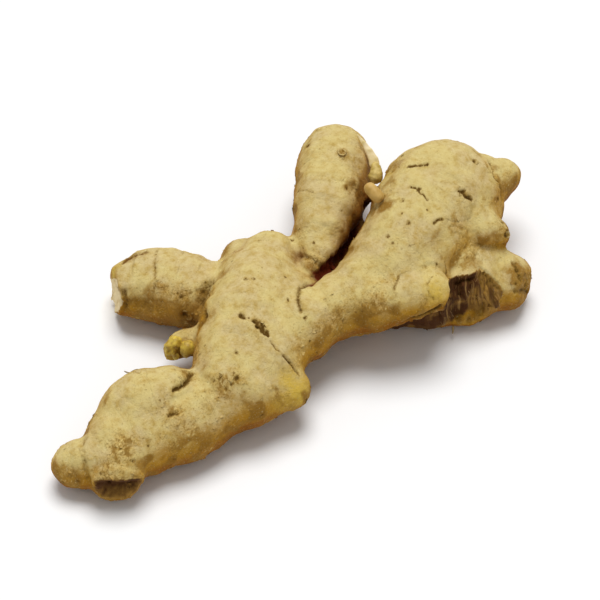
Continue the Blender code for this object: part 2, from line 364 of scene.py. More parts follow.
# Pits and root scars: photo pixel and radius in mm.
pits = [
    (474.5, 162, 1.0), (403, 201, 0.8), (409, 223.5, 0.8), (391, 191, 0.4), (402, 214, 0.4),
    (440, 201, 0.4), (427, 210, 0.4), (502.5, 223.5, 0.9), (506, 235, 1.0), (388, 236, 0.7),
    (393, 243, 0.6), (410, 246, 0.5), (308, 146, 0.9), (314, 243, 0.6), (341, 211, 0.5),
    (342, 152, 0.6), (347, 188, 0.9), (304, 164, 0.5), (317, 131, 0.5), (246, 279, 0.6),
    (254, 279, 0.6), (288, 300, 0.6), (285, 277, 0.5), (236, 353, 0.8), (305, 318, 0.6),
    (292, 240, 0.7), (133, 461, 0.8), (102, 473, 0.7), (87, 425, 0.9), (185, 314, 1.5), (182, 297, 0.8),
    (178, 293, 0.5), (316, 332, 0.5), (310, 341, 0.5), (205, 346, 0.5), (160, 400, 0.4),
    (190, 440, 0.5), (148, 446, 0.5), (262, 268, 0.4), (232, 262, 0.4), (219, 379, 0.7),
    (236, 378, 1.1), (231, 384, 0.6), (226, 389, 0.6), (255, 322, 0.9), (259, 329, 1.2),
    (263, 326, 0.6), (265, 334, 0.9), (248, 319, 0.6), (242, 317, 0.9), (518, 270, 1.0),
    (521, 279, 1.2), (525, 286, 1.2), (529, 291, 0.9), (516, 284, 0.7), (527, 279, 0.7),
    (214, 381, 0.7), (221, 376, 0.6), (234, 373, 0.6), (463, 191, 1.0), (468, 197, 0.8),
    (460, 195, 0.6),
]

# Patches: photo pixel, radius in mm, strength.
patches = {
    "yellow": [
        (300, 392, 7, 1.2), (291, 383, 5, 1), (285, 402, 5, 0.8), (436, 290, 4.2, 0.95),
        (516, 178, 4, 0.3), (114, 271, 3, 1.5), (352, 222, 3, 0.6), (378, 176, 3, 0.9),
        (60, 466, 5, 0.25), (112, 310, 2, 0.9), (388, 175, 4, 0.5), (500, 262, 5, 0.25),
        (330, 258, 4, 0.3), (172, 350, 5, 1), (183, 350, 4, 0.8), (166, 355, 4, 1),
    ],
    # Brown patches are the skin's own stains and scurf, except those on the lower flanks at (200, 435),
    # (188, 444) and (472, 262), which are painted shade.
    "brown": [
        (342, 153, 1.9, 1.2), (351, 184, 2.6, 0.85), (346, 187, 1.6, 1.0), (317, 268, 4, 0.5),
        (340, 318, 4.5, 0.65), (352, 322, 4, 0.55), (376, 303, 4, 0.6), (313, 271, 3.2, 0.9),
        (320, 271, 3, 1.1), (326, 265, 2, 0.8), (309, 279, 2, 0.7), (64, 471, 4, 0.6),
        (76, 475, 4, 0.7), (136, 306, 4.5, 0.7), (127, 305, 3.5, 0.7), (126, 262, 1.5, 0.8),
        (134, 259, 1.5, 0.8), (143, 256, 1.3, 0.7), (383, 206, 2.6, 1.4), (389, 204, 2.4, 1),
        (200, 435, 5, 0.8), (188, 444, 4, 0.6), (110, 498, 2.5, 1.5), (124, 498, 2.5, 1.5),
        (99, 494, 2.5, 1.4), (137, 490, 2.5, 1.4), (495, 168, 2, 0.8), (499, 181, 2, 0.8),
        (502, 193, 2, 0.8), (508, 180, 2.5, 0.5), (522, 278, 5, 1.5), (518, 267, 3, 1.2),
        (526, 290, 3.5, 1.5), (144, 309, 3, 0.7), (255, 412, 5, 0.45), (280, 412, 5, 0.4),
        (190, 452, 5, 0.25), (345, 335, 4, 0.5), (152, 296, 4, 0.8), (160, 290, 3, 0.7),
        (121, 449, 4.5, 0.25), (223, 392, 3.5, 0.7), (300, 348, 3, 0.5), (472, 262, 5, 0.75),
        (183, 316, 3.5, 0.7), (200, 308, 5, 0.8), (203, 294, 3, 0.9), (132, 258, 3, 0.7),
        (506, 230, 3.5, 0.6), (497, 180, 3, 0.4), (521, 172, 2, 0.7), (188, 326, 4, 0.7),
        (194, 352, 2.5, 0.9), (179, 356, 1.8, 0.9), (186, 378, 3, 0.6), (380, 196, 3, 0.7),
        (96, 470, 3, 0.5), (455, 228, 3.5, 0.3), (215, 450, 5, 0.4), (240, 440, 4, 0.35),
        (462, 193, 2.2, 0.5), (420, 165, 2.5, 0.3), (238, 378, 3, 0.5),
    ],
    "pale": [(362, 136, 1.5, 0.5), (373, 155, 2.0, 0.6)],
    "rough": [
        (121, 449, 5, 1.3), (130, 442, 4, 0.9), (176, 414, 5, 0.9), (192, 428, 5, 0.8),
        (163, 440, 4, 0.6), (205, 405, 4, 0.6), (222, 385, 5, 1), (236, 378, 4, 0.8),
        (340, 318, 5, 0.9), (322, 330, 5, 0.7), (376, 303, 5, 0.9), (360, 310, 4, 0.7),
        (314, 262, 3, 0.8), (522, 280, 5, 0.5), (458, 224, 4, 0.5), (400, 243, 5, 0.4),
        (415, 238, 4, 0.4), (437, 268, 3, 0.5), (180, 298, 5, 0.9), (165, 292, 4, 0.8),
        (190, 322, 5, 1), (203, 300, 4, 0.8), (497, 180, 4, 0.7), (470, 257, 4, 0.7), (108, 474, 5, 1),
        (260, 328, 4, 0.7), (300, 345, 5, 0.6), (282, 400, 6, 0.5), (250, 405, 5, 0.5),
        (140, 380, 4, 0.4), (455, 200, 3, 0.3), (384, 280, 5, 0.5), (350, 300, 5, 0.35),
        (186, 376, 4, 0.9), (395, 160, 4, 0.3), (66, 470, 5, 0.35), (508, 177, 2.5, 0.7),
        (505, 230, 4, 0.9), (312, 150, 3, 0.5), (352, 185, 3.5, 0.7), (342, 152, 2.5, 0.7),
        (215, 430, 5, 0.5), (235, 425, 5, 0.4),
    ],
    "beads": [
        (172, 350, 5, 1), (183, 348, 4, 0.8), (166, 356, 4, 1), (186, 338, 3, 0.6), (315, 266, 4, 0.5),
        (323, 270, 3, 0.5), (351, 184, 3, 0.6), (342, 152, 1.8, 0.6), (118, 446, 4, 0.3),
        (194, 320, 4, 0.4),
    ],
    # Painted shade in the hollows of the broken ends and on the keel's underside.
    "hollow": [
        (452, 287, 5, 1), (460, 283, 6, 1), (472, 281, 4, 0.9), (455, 305, 5, 1), (466, 300, 4, 0.8),
        (449, 300, 5, 1), (446, 315, 4.5, 1), (458, 297, 4, 0.9), (469, 290, 4, 0.8),
        (460, 312, 4.5, 1), (438, 322, 5, 1), (471, 304, 2.5, 0.6), (486, 300, 2.5, 0.4),
        (480, 312, 2.5, 0.4), (415, 322, 5, 1), (400, 326, 5, 1), (382, 333, 5, 1), (369, 336, 4, 1),
        (103, 486, 4.5, 1), (112, 486, 4.5, 1), (122, 485, 4.5, 1), (132, 484, 4.5, 1),
        (118, 490, 4, 0.9), (107, 491, 3, 0.8), (129, 490, 3, 0.8),
    ],
}

# Broken ends: the outline in photo pixels, how far it dishes and how high its ribs are in mm, how
# deep into the root it reaches, the pixel that its ribs fan out from, and how stringy it is.
wounds = {
    "stubScar": {
        "outline": [
            (96, 481), (104, 479), (118, 480.5), (130, 479.5), (141, 478), (142, 486), (134, 495),
            (119, 499), (105, 498), (96, 490),
        ],
        "dish": 3.2, "ribs": 0.3, "reach": 9, "source": (119, 380),
    },
    "brokenFace": {
        "outline": [
            (447, 281), (455, 277), (467, 275), (475, 272), (480, 268), (490, 276), (500, 286),
            (503, 293), (497, 305), (488, 318), (478, 325), (462, 331), (447, 331), (440, 324),
            (441, 310), (446, 300), (449, 290),
        ],
        "dish": 1.2, "ribs": 1.5, "reach": 11, "source": (464, 130), "strands": 1,
    },
    # The keel: the underside of a lower lobe below the bridge, drawn as a broken face; its dark there is
    # painted shade.
    "keelFace": {
        "outline": [
            (362, 336), (380, 330), (401, 322), (415, 316), (428, 311), (442, 304), (447, 308),
            (441, 332), (430, 332), (401, 336), (381, 339), (364, 340),
        ],
        "dish": 0.4, "ribs": 0.7, "reach": 9, "source": (420, 100),
    },
}

# The torn end of the left finger, where pale flesh shows, in the same terms.
tornEnd = {
    "outline": [
        (117, 279), (121, 285), (122, 293), (122, 303), (119, 311), (112, 313), (103, 311), (100, 300),
        (101, 286), (108, 279),
    ],
    "dish": 0.4, "reach": 14,
}


def softCopy():
    source = bmesh.new()
    source.from_mesh(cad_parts["ginger_rhizome"].data)
    bmesh.ops.remove_doubles(source, verts=source.verts, dist=0.01 * mm)
    mesh = bpy.data.meshes.new("gingerSkin")
    source.to_mesh(mesh)
    source.free()
    skin = addObject("gingerSkin", mesh)
    remesh = skin.modifiers.new("evenGrid", "REMESH")
    remesh.mode = "VOXEL"
    remesh.voxel_size = skinShape["grid"] * mm
    soften = skin.modifiers.new("soften", "SMOOTH")
    soften.factor = 0.5
    soften.iterations = skinShape["softening"]
    applyModifiers(skin)
    return skin


def meshArrays(mesh):
    count = len(mesh.vertices)
    places, normals = np.empty(count * 3), np.empty(count * 3)
    mesh.vertices.foreach_get("co", places)
    mesh.vertices.foreach_get("normal", normals)
    return places.reshape(-1, 3) / mm, normals.reshape(-1, 3)


def nearLine(places, line):  # distance to a line of points, and how far along it, in mm
    points = np.array([tuple(p) for p in line])
    best = np.full(len(places), np.inf)
    along = np.zeros(len(places))
    travelled = 0
    for start, end in zip(points[:-1], points[1:]):
        step = end - start
        length = np.linalg.norm(step)
        share = np.clip((places - start) @ step / length ** 2, 0, 1)
        gap = np.linalg.norm(places - start - share[:, None] * step, axis=1)
        closer = gap < best
        best[closer] = gap[closer]
        along[closer] = travelled + share[closer] * length
        travelled += length
    return best, along


def insideOutline(across, down, outline):  # distance in pixels inside an outline, less than 0 outside
    best = np.full(len(across), np.inf)
    inside = np.zeros(len(across), bool)
    for (x0, y0), (x1, y1) in zip(outline, outline[1:] + outline[:1]):
        dx, dy = x1 - x0, y1 - y0
        share = np.clip(((across - x0) * dx + (down - y0) * dy) / (dx * dx + dy * dy), 0, 1)
        best = np.minimum(best, np.hypot(across - x0 - share * dx, down - y0 - share * dy))
        crosses = (y0 > down) != (y1 > down)
        inside ^= crosses & (across < x0 + (down - y0) * dx / (dy if dy else 1e-9))
    return np.where(inside, best, -best)


def fingerCoordinates(places):  # how far along its own finger each place is, and that finger's way
    depth = np.full(len(places), np.inf)
    along = np.zeros(len(places))
    way = np.zeros((len(places), 3))
    owner = np.zeros(len(places), int)
    for index, (radius, *_, stops) in enumerate(fingers.values()):
        line = [photoPoint(*stop) for stop in stops]
        gap, travel = nearLine(places, line)
        ours = gap - radius < depth
        depth[ours] = (gap - radius)[ours]
        along[ours] = travel[ours]
        way[ours] = (line[-1] - line[0]).normalized()
        owner[ours] = index
    return along, way, owner


def ringRelief(places, along, owner):  # height of the rings in mm, and the dark line in each
    wobble = noiseAt(places, 9, 3) * 1.3 + noiseAt(places, 3, 7) * 0.45
    broken = smoothStep(-0.25, 0.3, noiseAt(places, 6.5, 11))
    height, line = np.zeros(len(places)), np.zeros(len(places))
    wide = skinShape["ringWidth"]
    for index, (_, strength, rings, _) in enumerate(fingers.values()):
        for ring in rings:
            u = np.where(owner == index, along - ring + wobble, np.inf)
            height += strength * (bell((u + wide) / wide) - bell(u / (wide * 0.7)) * 0.9)
            line += strength * bell(u / (wide * 0.55))
    return height * skinShape["ringHeight"] * broken, np.clip(line * broken, 0, 1)


def cellBumps(places, size):  # rounded bumps packed side by side, 1 at each middle and 0 between them
    made = []
    for place in places:
        wandering = Vector(place) / size + noise.noise_vector(Vector(place) / (size * 0.8)) * 0.7
        made.append(1 - min(noise.voronoi(wandering)[0][0] * 1.5, 1))
    return np.array(made)


def openness(places, normals, tree):  # share of the sky that each place sees, 0 to 1
    count, reach = skinShape["lightRays"], skinShape["lightReach"] * mm
    golden = math.pi * (3 - math.sqrt(5))
    ways = []
    for i in range(count):
        z = 1 - (i + 0.5) / count * skinShape["lightLowest"]
        r = math.sqrt(1 - z * z)
        ways.append(Vector((r * math.cos(golden * i), r * math.sin(golden * i), z)))
    seen = np.zeros(len(places))
    for i, (place, normal) in enumerate(zip(places, normals)):
        normal = Vector(normal)
        turn = normal.to_track_quat("Z", "Y")
        start = Vector(place) * mm + normal * skinShape["lightLift"] * mm
        seen[i] = sum(tree.ray_cast(start, turn @ way, reach)[0] is None for way in ways) / count
    return seen


def patchField(places, tree, spots, ragged):
    field = np.zeros(len(places))
    for px, py, radius, strength in spots:
        gap = skinGap(places, tree, px, py)
        field = np.maximum(field, strength * bell(np.clip(gap / radius + ragged, 0, None)))
    return field


def fingerRelief(places):  # lumps, wrinkles and rings, and the fields that go with them
    along, way, owner = fingerCoordinates(places)
    height = np.zeros(len(places))
    for index, (size, tall) in enumerate(skinShape["lumps"]):
        height += tall * noiseAt(places, size, index * 5)
    across = places - (places * way).sum(1)[:, None] * way
    stretched = across / skinShape["wrinkleLength"] + way * (along / skinShape["wrinkleSpacing"])[:, None]
    height += skinShape["wrinkleHeight"] * noiseAt(stretched, 1, 17)
    rings, ringLine = ringRelief(places, along, owner)
    return height + rings, {"along": along, "ringLine": ringLine}


def markRelief(places, tree, warp):  # cracks, raised edges and pits, and the fields that go with them
    cut = cutShape
    height, dark, maroon = np.zeros((3, len(places)))
    for wide, deep, darkest, reddest, path in cracksAndCreviceShade.values():
        spread = np.clip(nearLine(places, skinPath(tree, path))[0] / wide + warp, 0, None)
        height -= deep * bell(spread)
        height += min(deep, cut["lipDeepest"]) * cut["lip"] * bell(spread - cut["lipAt"])
        shading = bell(spread * cut["darkWidth"])
        dark = np.maximum(dark, darkest * shading)
        maroon = np.maximum(maroon, reddest * shading)
    for wide, tall, path in ridges.values():
        gap = nearLine(places, skinPath(tree, path))[0]
        height += tall * bell(np.clip(gap / wide + warp * 0.5, 0, None))
    for px, py, radius in pits:
        spread = np.clip(skinGap(places, tree, px, py) / radius + warp, 0, None)
        height -= cut["pitDepth"] * radius * bell(spread * cut["pitWidth"])
        height += cut["rim"] * radius * bell((spread - cut["rimAt"]) * cut["rimWidth"])
        dark = np.maximum(dark, cut["pitDark"] * bell(spread * cut["pitDarkWidth"]))
    return height, {"dark": dark, "maroon": maroon}


def bumpRelief(places, field, shape):  # packed bumps where the field is, and their height in mm
    bumps = np.zeros(len(places))
    near = field > 0.02
    bumps[near] = cellBumps(places[near], shape["size"])
    return bumps, field * (bumps - shape["level"]) * shape["height"]


def woundRelief(places, tree, warp, facing):  # broken ends and the torn end, and their fields
    across, down, depth = photoPixels(places)
    size = photoView["width"] / photoView["pixels"] / mm

    def within(outline, reach, edge):  # pixels inside it, and 1 on its own part of the root
        inside = insideOutline(across + warp * 3, down + warp * 3, outline)
        level = photoPixels([tuple(onSkin(tree, *np.mean(outline, 0)))])[2][0]
        near = smoothStep(reach, reach - 3, np.abs(depth - level))
        return inside, smoothStep(-edge, edge, inside) * near

    height = np.zeros(len(places))
    fields = {name: np.zeros(len(places)) for name in ("scar", "rib", "fan", "fanDown", "strandy")}
    for wound in wounds.values():
        inside, share = within(wound["outline"], wound["reach"], 1.2)
        share = share * smoothStep(-0.45, -0.1, facing)
        near = inside > -8
        x0, y0 = wound["source"]
        middle = np.mean(wound["outline"], 0)
        fan = np.arctan2(across - x0, down - y0) * (middle[1] - y0) * size
        fields["fan"][near] = fan[near] + noiseAt(places[near], 8, 71) * 1.2
        fields["fanDown"][near] = (np.hypot(across - x0, down - y0) * size)[near]
        stretched = np.stack([fields["fan"] / 2.3, fields["fanDown"] / 9, np.full(len(places), 4)], 1)
        ribs = noiseAt(stretched, 1, 41)
        fields["rib"][near] = ribs[near]
        height -= share * wound["dish"] * smoothStep(0, 7, inside)
        height += share * ribs * wound["ribs"]
        fields["scar"] = np.maximum(fields["scar"], share)
        fields["strandy"] = np.maximum(fields["strandy"], share * wound.get("strands", 0))
    inside, fields["torn"] = within(tornEnd["outline"], tornEnd["reach"], 1)
    height -= fields["torn"] * tornEnd["dish"] * smoothStep(0, 5, inside)
    fields["rib"] = fields["rib"] * 0.5 + 0.5
    return height, fields


def carveSkin(skin):  # moves the points, and leaves each field on them for the material
    mesh = skin.data
    tree = surfaceTree(mesh)
    places, normals = meshArrays(mesh)
    print("skin points", len(places))
    warp = noiseAt(places, cutShape["frayingSize"], 23) * cutShape["fraying"]
    facing = normals @ np.array(viewAxes()[0])
    height, fields = fingerRelief(places)
    marks, markFields = markRelief(places, tree, warp)
    height += marks
    fields.update(markFields)

    ragged = noiseAt(places, 4, 31) * 0.35 + warp * 0.5
    fields.update({name: patchField(places, tree, spots, ragged) for name, spots in patches.items()})
    sides = {"hidden": smoothStep(0.2, -0.2, facing), "flank": smoothStep(0.86, 0.5, normals[:, 2])}
    for side, spread in weathering.items():
        for name, (size, shift, low, high, most) in spread.items():
            scattered = sides[side] * smoothStep(low, high, noiseAt(places, size, shift)) * most
            fields[name] = np.maximum(fields[name], scattered)
    warts, raised = bumpRelief(places, fields["rough"], skinShape["warts"])
    height += raised + bumpRelief(places, fields.pop("beads"), skinShape["beads"])[1]
    # Painted shade between the scale bumps, and a painted highlight on their tops.
    fields["crease"] = fields["rough"] * smoothStep(0.32, 0.05, warts)
    fields["crest"] = fields["rough"] * smoothStep(0.45, 0.8, warts)

    dished, woundFields = woundRelief(places, tree, warp, facing)
    height += dished
    fields.update(woundFields)
    fields["pale"] = np.maximum(fields["pale"], fields.pop("torn"))
    # Painted shade in the hollows, kept to the broken ends.
    fields["hollow"] *= smoothStep(0, 0.6, fields["scar"])
    grain = np.abs(noiseAt(places, skinShape["fleshSize"], 47))
    height -= fields["pale"] * grain * skinShape["fleshHeight"]

    moved = places + normals * height[:, None]
    onFlat = places[:, 2] < 0.05
    moved[onFlat, 2] = places[onFlat, 2]
    mesh.vertices.foreach_set("co", (moved * mm).ravel())
    keepInBox(mesh)
    # Painted shade: the sides darker and more golden and the undersides darker, by the way they face;
    # darker again where little sky is seen.
    fields["under"] = smoothStep(0.9, 0.05, normals[:, 2])
    fields["below"] = smoothStep(0.3, -0.4, normals[:, 2])
    fields["shade"] = 1 - openness(places, normals, tree)
    for name, field in fields.items():
        addField(mesh, name, field)
    mesh.shade_smooth()


# Cork skin of a fresh rhizome, grown thin, washed and air dried. It is matte and pale yellow-brown,
# with fine lines round each finger, scurf on the rough patches, and brown fibrous flesh where it is
# broken. Its colours also carry painted shade on the sides, undersides, crevices, gaps and hollows, and
# painted highlights on the scale tops.

corkSkin = {
    "lit": "#D8C684",
    "roughness": 0.75,
    "ior": 1.45,
    "specular": 0.18,
    "bump": 0.95,
    "lineSpacing": 0.9,  # mm between the fine lines round each finger
    "lineLength": 6.25,  # mm before a line fades into the next
    "strandSpacing": 0.8,  # mm between the fine strands on the broken faces
    "strandRun": 0.12,  # how fast a strand changes along its length, to 1 mm
    # Noise: size in mm, detail and roughness.
    "noise": {
        "mottle": (9, 3, 0.5), "patchy": (2.6, 4, 0.6), "fine": (0.6, 4, 0.65), "ragged": (1.1, 4, 0.7),
    },
    # Colours from the bottom up: how it blends, what places it, what frays it and how much, from,
    # to and most.
    "layers": {
        "pinkPatches": ("#CDB78C", "MIX", "mottle", "mottle", 0, 0.42, 0.62, 0.5),
        "olivePatches": ("#BFA552", "MIX", "patchy", "mottle", 0.3, 0.64, 0.88, 0.65),
        "lightPatches": ("#E6D69C", "MIX", "patchy", "patchy", 0, 0.44, 0.28, 0.25),
        # Painted shade: darker and more golden on the sides, brown patches on the steepest, darker on the
        # undersides.
        "goldSideShade": ("#DCB248", "MULTIPLY", "under", "patchy", 0.5, 0.1, 1.15, 1),
        "brownSideShade": ("#967426", "MIX", "under", "patchy", 2, 1.9, 2.4, 0.45),
        "undersideShade": ("#CDB062", "MULTIPLY", "below", "patchy", 0.4, 0.2, 1.1, 1),
        "youngYellow": ("#D2B046", "MIX", "yellow", "ragged", 0.9, 0.55, 1.6, 1),
        "brownPatches": ("#92681C", "MIX", "brown", "patchy", 1, 0.75, 1.4, 0.9),
        "roughGold": ("#BC9444", "MIX", "rough", "patchy", 1, 0.7, 1.5, 0.55),
        "fingerLines": ("#93763A", "MIX", "lines", "lines", 0, 0.56, 0.72, 0.16),
        "ringLines": ("#8A6C30", "MIX", "ringLine", "ragged", 0.6, 0.5, 1.15, 0.65),
        "specks": ("#8E6A26", "MIX", "fine", "rough", 0.12, 0.61, 0.7, 0.6),
        "flecks": ("#EADBA4", "MIX", "fine", "fine", 0, 0.42, 0.26, 0.5),
        # Painted shade between the scale bumps, and a painted highlight on their tops.
        "scaleGapShade": ("#8E6A26", "MIX", "crease", "ragged", 0.9, 0.85, 1.3, 0.8),
        "paintedScaleHighlight": ("#E8D088", "MIX", "crest", "ragged", 1.2, 0.82, 1.4, 0.7),
        "paleFlesh": ("#F2DCAA", "MIX", "pale", "ragged", 0.4, 0.4, 0.9, 1),
        "fleshGrain": ("#D2B272", "MIX", "pale", "patchy", 2.5, 2.15, 2.7, 0.75),
        "dryFlesh": ("#A87E38", "MIX", "scar", "ragged", 0.3, 0.4, 0.8, 1),
        "fleshBands": ("#5C3A16", "MIX", "scar", "rib", 2, 1.85, 2.25, 0.9),
        "fleshStrands": ("#4E3010", "MIX", "strandy", "strands", 2, 2.02, 2.25, 0.6),
        # Painted shade in the hollows of the broken ends.
        "fleshHollowShade": ("#4C290C", "MIX", "hollow", "patchy", 1, 0.7, 1.25, 0.95),
        "lightStrands": ("#B48C50", "MIX", "strandy", "strands", -2, 0.06, 0.34, 0.6),
        # The colour of cracks and gouges, and painted shade in crevices and under edges.
        "crackEdgesAndCreviceShade": ("#8A6822", "MIX", "dark", "ragged", 1, 0.68, 0.95, 0.6),
        "cracksAndCreviceShade": ("#604410", "MIX", "dark", "ragged", 1, 0.9, 1.15, 1),
        "gapShade": ("#A27026", "MULTIPLY", "shade", "patchy", 0, 0.28, 0.85, 1),
        # Painted shade in the deep gap by the top finger, and the scale edge's own orange-brown.
        "maroonGapShadeAndEdge": ("#6E2A0C", "MIX", "maroon", "ragged", 0.3, 0.5, 0.8, 1),
    },
    # How much each texture lifts the surface, in mm.
    "relief": {"fine": 0.33, "lines": 0.12, "patchy": 0.5, "ragged": 0.24},
}


def corkSkinMaterial():
    look = corkSkin
    material, shader = newMaterial("corkSkin", look["roughness"])
    tree = material.node_tree
    place = addNode(tree, "ShaderNodeTexCoord").outputs["Object"]
    split = addNode(tree, "ShaderNodeSeparateXYZ", {0: place})
    found = {}
    names = {name for layer in look["layers"].values() for name in layer[2:4]}
    for name in sorted(names | {"along", "fan", "fanDown"}):
        if name not in look["noise"] and name not in ("lines", "strands"):
            found[name] = addNode(tree, "ShaderNodeAttribute", attribute_name=name).outputs["Fac"]
    for name, (size, detail, roughness) in look["noise"].items():
        found[name] = addNode(tree, "ShaderNodeTexNoise", {
            "Vector": place, "Scale": 1 / (size * mm), "Detail": detail, "Roughness": roughness,
        })
    # Fine lines are read along each finger, and strands across the way that they run down a broken
    # face.
    drift = 1 / (look["lineLength"] * mm)
    stretched = {
        "lines": (
            (found["along"], 1 / look["lineSpacing"]),
            (split.outputs[0], drift), (split.outputs[2], drift),
        ),
        "strands": ((found["fan"], 1 / look["strandSpacing"]), (found["fanDown"], look["strandRun"])),
    }
    for name, parts in stretched.items():
        scaled = {
            axis: addNode(tree, "ShaderNodeMath", {0: part, 1: size}, operation="MULTIPLY")
            for axis, (part, size) in enumerate(parts)
        }
        vector = addNode(tree, "ShaderNodeCombineXYZ", scaled)
        found[name] = addNode(tree, "ShaderNodeTexNoise", {"Vector": vector, "Scale": 1.0, "Detail": 3.0})

    colour = linear(look["lit"])
    for tint, blend, placed, frayed, share, low, high, most in look["layers"].values():
        where = addNode(tree, "ShaderNodeMath", {
            0: found[frayed], 1: share, 2: found[placed],
        }, operation="MULTIPLY_ADD")
        amount = addNode(tree, "ShaderNodeMapRange", {
            "Value": where, "From Min": low, "From Max": high, "To Max": most,
        })
        colour = addNode(tree, "ShaderNodeMix", {
            0: amount, 6: colour, 7: linear(tint),
        }, data_type="RGBA", blend_type=blend).outputs[2]
    tree.links.new(colour, shader.inputs["Base Color"])

    height = addNode(tree, "ShaderNodeMath", {
        0: found["strands"], 1: found["strandy"],
    }, operation="MULTIPLY")
    for name, tall in look["relief"].items():
        height = addNode(tree, "ShaderNodeMath", {
            0: found[name], 1: tall, 2: height,
        }, operation="MULTIPLY_ADD")
    bump = addNode(tree, "ShaderNodeBump", {
        "Height": height, "Strength": look["bump"], "Distance": 1 * mm,
    })
    tree.links.new(bump.outputs["Normal"], shader.inputs["Normal"])
    shader.inputs["IOR"].default_value = look["ior"]
    shader.inputs["Specular IOR Level"].default_value = look["specular"]
    return material


def makeSkin():
    skin = softCopy()
    carveSkin(skin)
    skin.data.materials.clear()
    skin.data.materials.append(corkSkinMaterial())
    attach(skin, "root")
    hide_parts("ginger_rhizome")
    print("skin ready", len(skin.data.polygons), "faces")
    return skin


# Small things that follow the skin, each set out by its own node tree

def newTree(name, sizes):  # a node tree with named number inputs
    tree = bpy.data.node_groups.new(name, "GeometryNodeTree")
    tree.interface.new_socket("Geometry", in_out="INPUT", socket_type="NodeSocketGeometry")
    tree.interface.new_socket("Geometry", in_out="OUTPUT", socket_type="NodeSocketGeometry")
    for title, value in sizes.items():
        kind = "NodeSocketInt" if isinstance(value, int) else "NodeSocketFloat"
        tree.interface.new_socket(title, in_out="INPUT", socket_type=kind).default_value = value
    given = {socket.name: socket for socket in tree.nodes.new("NodeGroupInput").outputs}
    return tree, given, tree.nodes.new("NodeGroupOutput")


def endTree(tree, made, geometry, material):
    painted = addNode(tree, "GeometryNodeSetMaterial", {"Geometry": geometry, "Material": material})
    tree.links.new(painted.outputs[0], made.inputs[0])


def finishPiece(made, material):
    mesh = made.data
    keepInBox(mesh)
    mesh.materials.clear()
    mesh.materials.append(material)
    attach(made, "root")
    print(made.name, len(mesh.polygons), "faces")


def growPiece(name, base, tree, sizes, material):  # what the tree makes of the base mesh
    holder = addObject(name, base)
    modifier = holder.modifiers.new(name, "NODES")
    modifier.node_group = tree
    for item in tree.interface.items_tree:
        if item.in_out == "INPUT" and item.name in sizes:
            modifier[item.identifier] = sizes[item.name]
    applyModifiers(holder)
    finishPiece(holder, material)


def plainMaterial(name, light, deep, size, roughness):  # two colours in a soft grain of that size in mm
    material, shader = newMaterial(name, roughness)
    tree = material.node_tree
    place = addNode(tree, "ShaderNodeTexCoord").outputs["Object"]
    grain = addNode(tree, "ShaderNodeTexNoise", {"Vector": place, "Scale": 1 / (size * mm), "Detail": 3.0})
    ramp = addNode(tree, "ShaderNodeMapRange", {"Value": grain, "From Min": 0.35, "From Max": 0.65})
    mix = addNode(tree, "ShaderNodeMix", {0: ramp, 6: linear(light), 7: linear(deep)}, data_type="RGBA")
    tree.links.new(mix.outputs[2], shader.inputs["Base Color"])
    bump = addNode(tree, "ShaderNodeBump", {"Height": grain, "Strength": 0.4, "Distance": 0.3 * mm})
    tree.links.new(bump.outputs["Normal"], shader.inputs["Normal"])
    return material


def scatterSpots(tree, given, field):  # points on the skin, the more of them the stronger the field
    strength = addNode(tree, "GeometryNodeInputNamedAttribute", {"Name": field}, data_type="FLOAT")
    chance = addNode(tree, "ShaderNodeMath", {0: strength, 1: given["Density"]}, operation="MULTIPLY")
    return addNode(tree, "GeometryNodeDistributePointsOnFaces", {
        "Mesh": given["Geometry"], "Density": chance, "Seed": given["Seed"],
    })


def setOnSpots(tree, given, spots, item, facing, chances):  # turned and sized by chance
    seed = given["Seed"]
    spin = addNode(tree, "FunctionNodeRandomValue", {
        0: chances["leastTurn"], 1: chances["mostTurn"], "Seed": seed,
    }, data_type="FLOAT_VECTOR")
    turned = addNode(tree, "FunctionNodeRotateRotation", {
        "Rotation": facing, "Rotate By": addNode(tree, "FunctionNodeEulerToRotation", {0: spin}),
    }, rotation_space="LOCAL")
    grow = addNode(tree, "FunctionNodeRandomValue", {
        2: chances["smallest"], 3: chances["largest"], "Seed": seed,
    }, data_type="FLOAT")
    placed = addNode(tree, "GeometryNodeInstanceOnPoints", {
        "Points": spots, "Instance": item, "Rotation": turned, "Scale": grow.outputs[1],
    })
    return addNode(tree, "GeometryNodeRealizeInstances", {0: placed})


flakeSizes = {
    "Density": 200000.0, "Length": 0.0016, "Width": 0.001, "Curl": 0.22, "Sink": 0.0001, "Seed": 5,
}
flakeChances = {
    "leastTurn": (-0.35, -0.35, 0), "mostTurn": (0.35, 0.35, 6.28), "smallest": 0.5, "largest": 1.3,
}


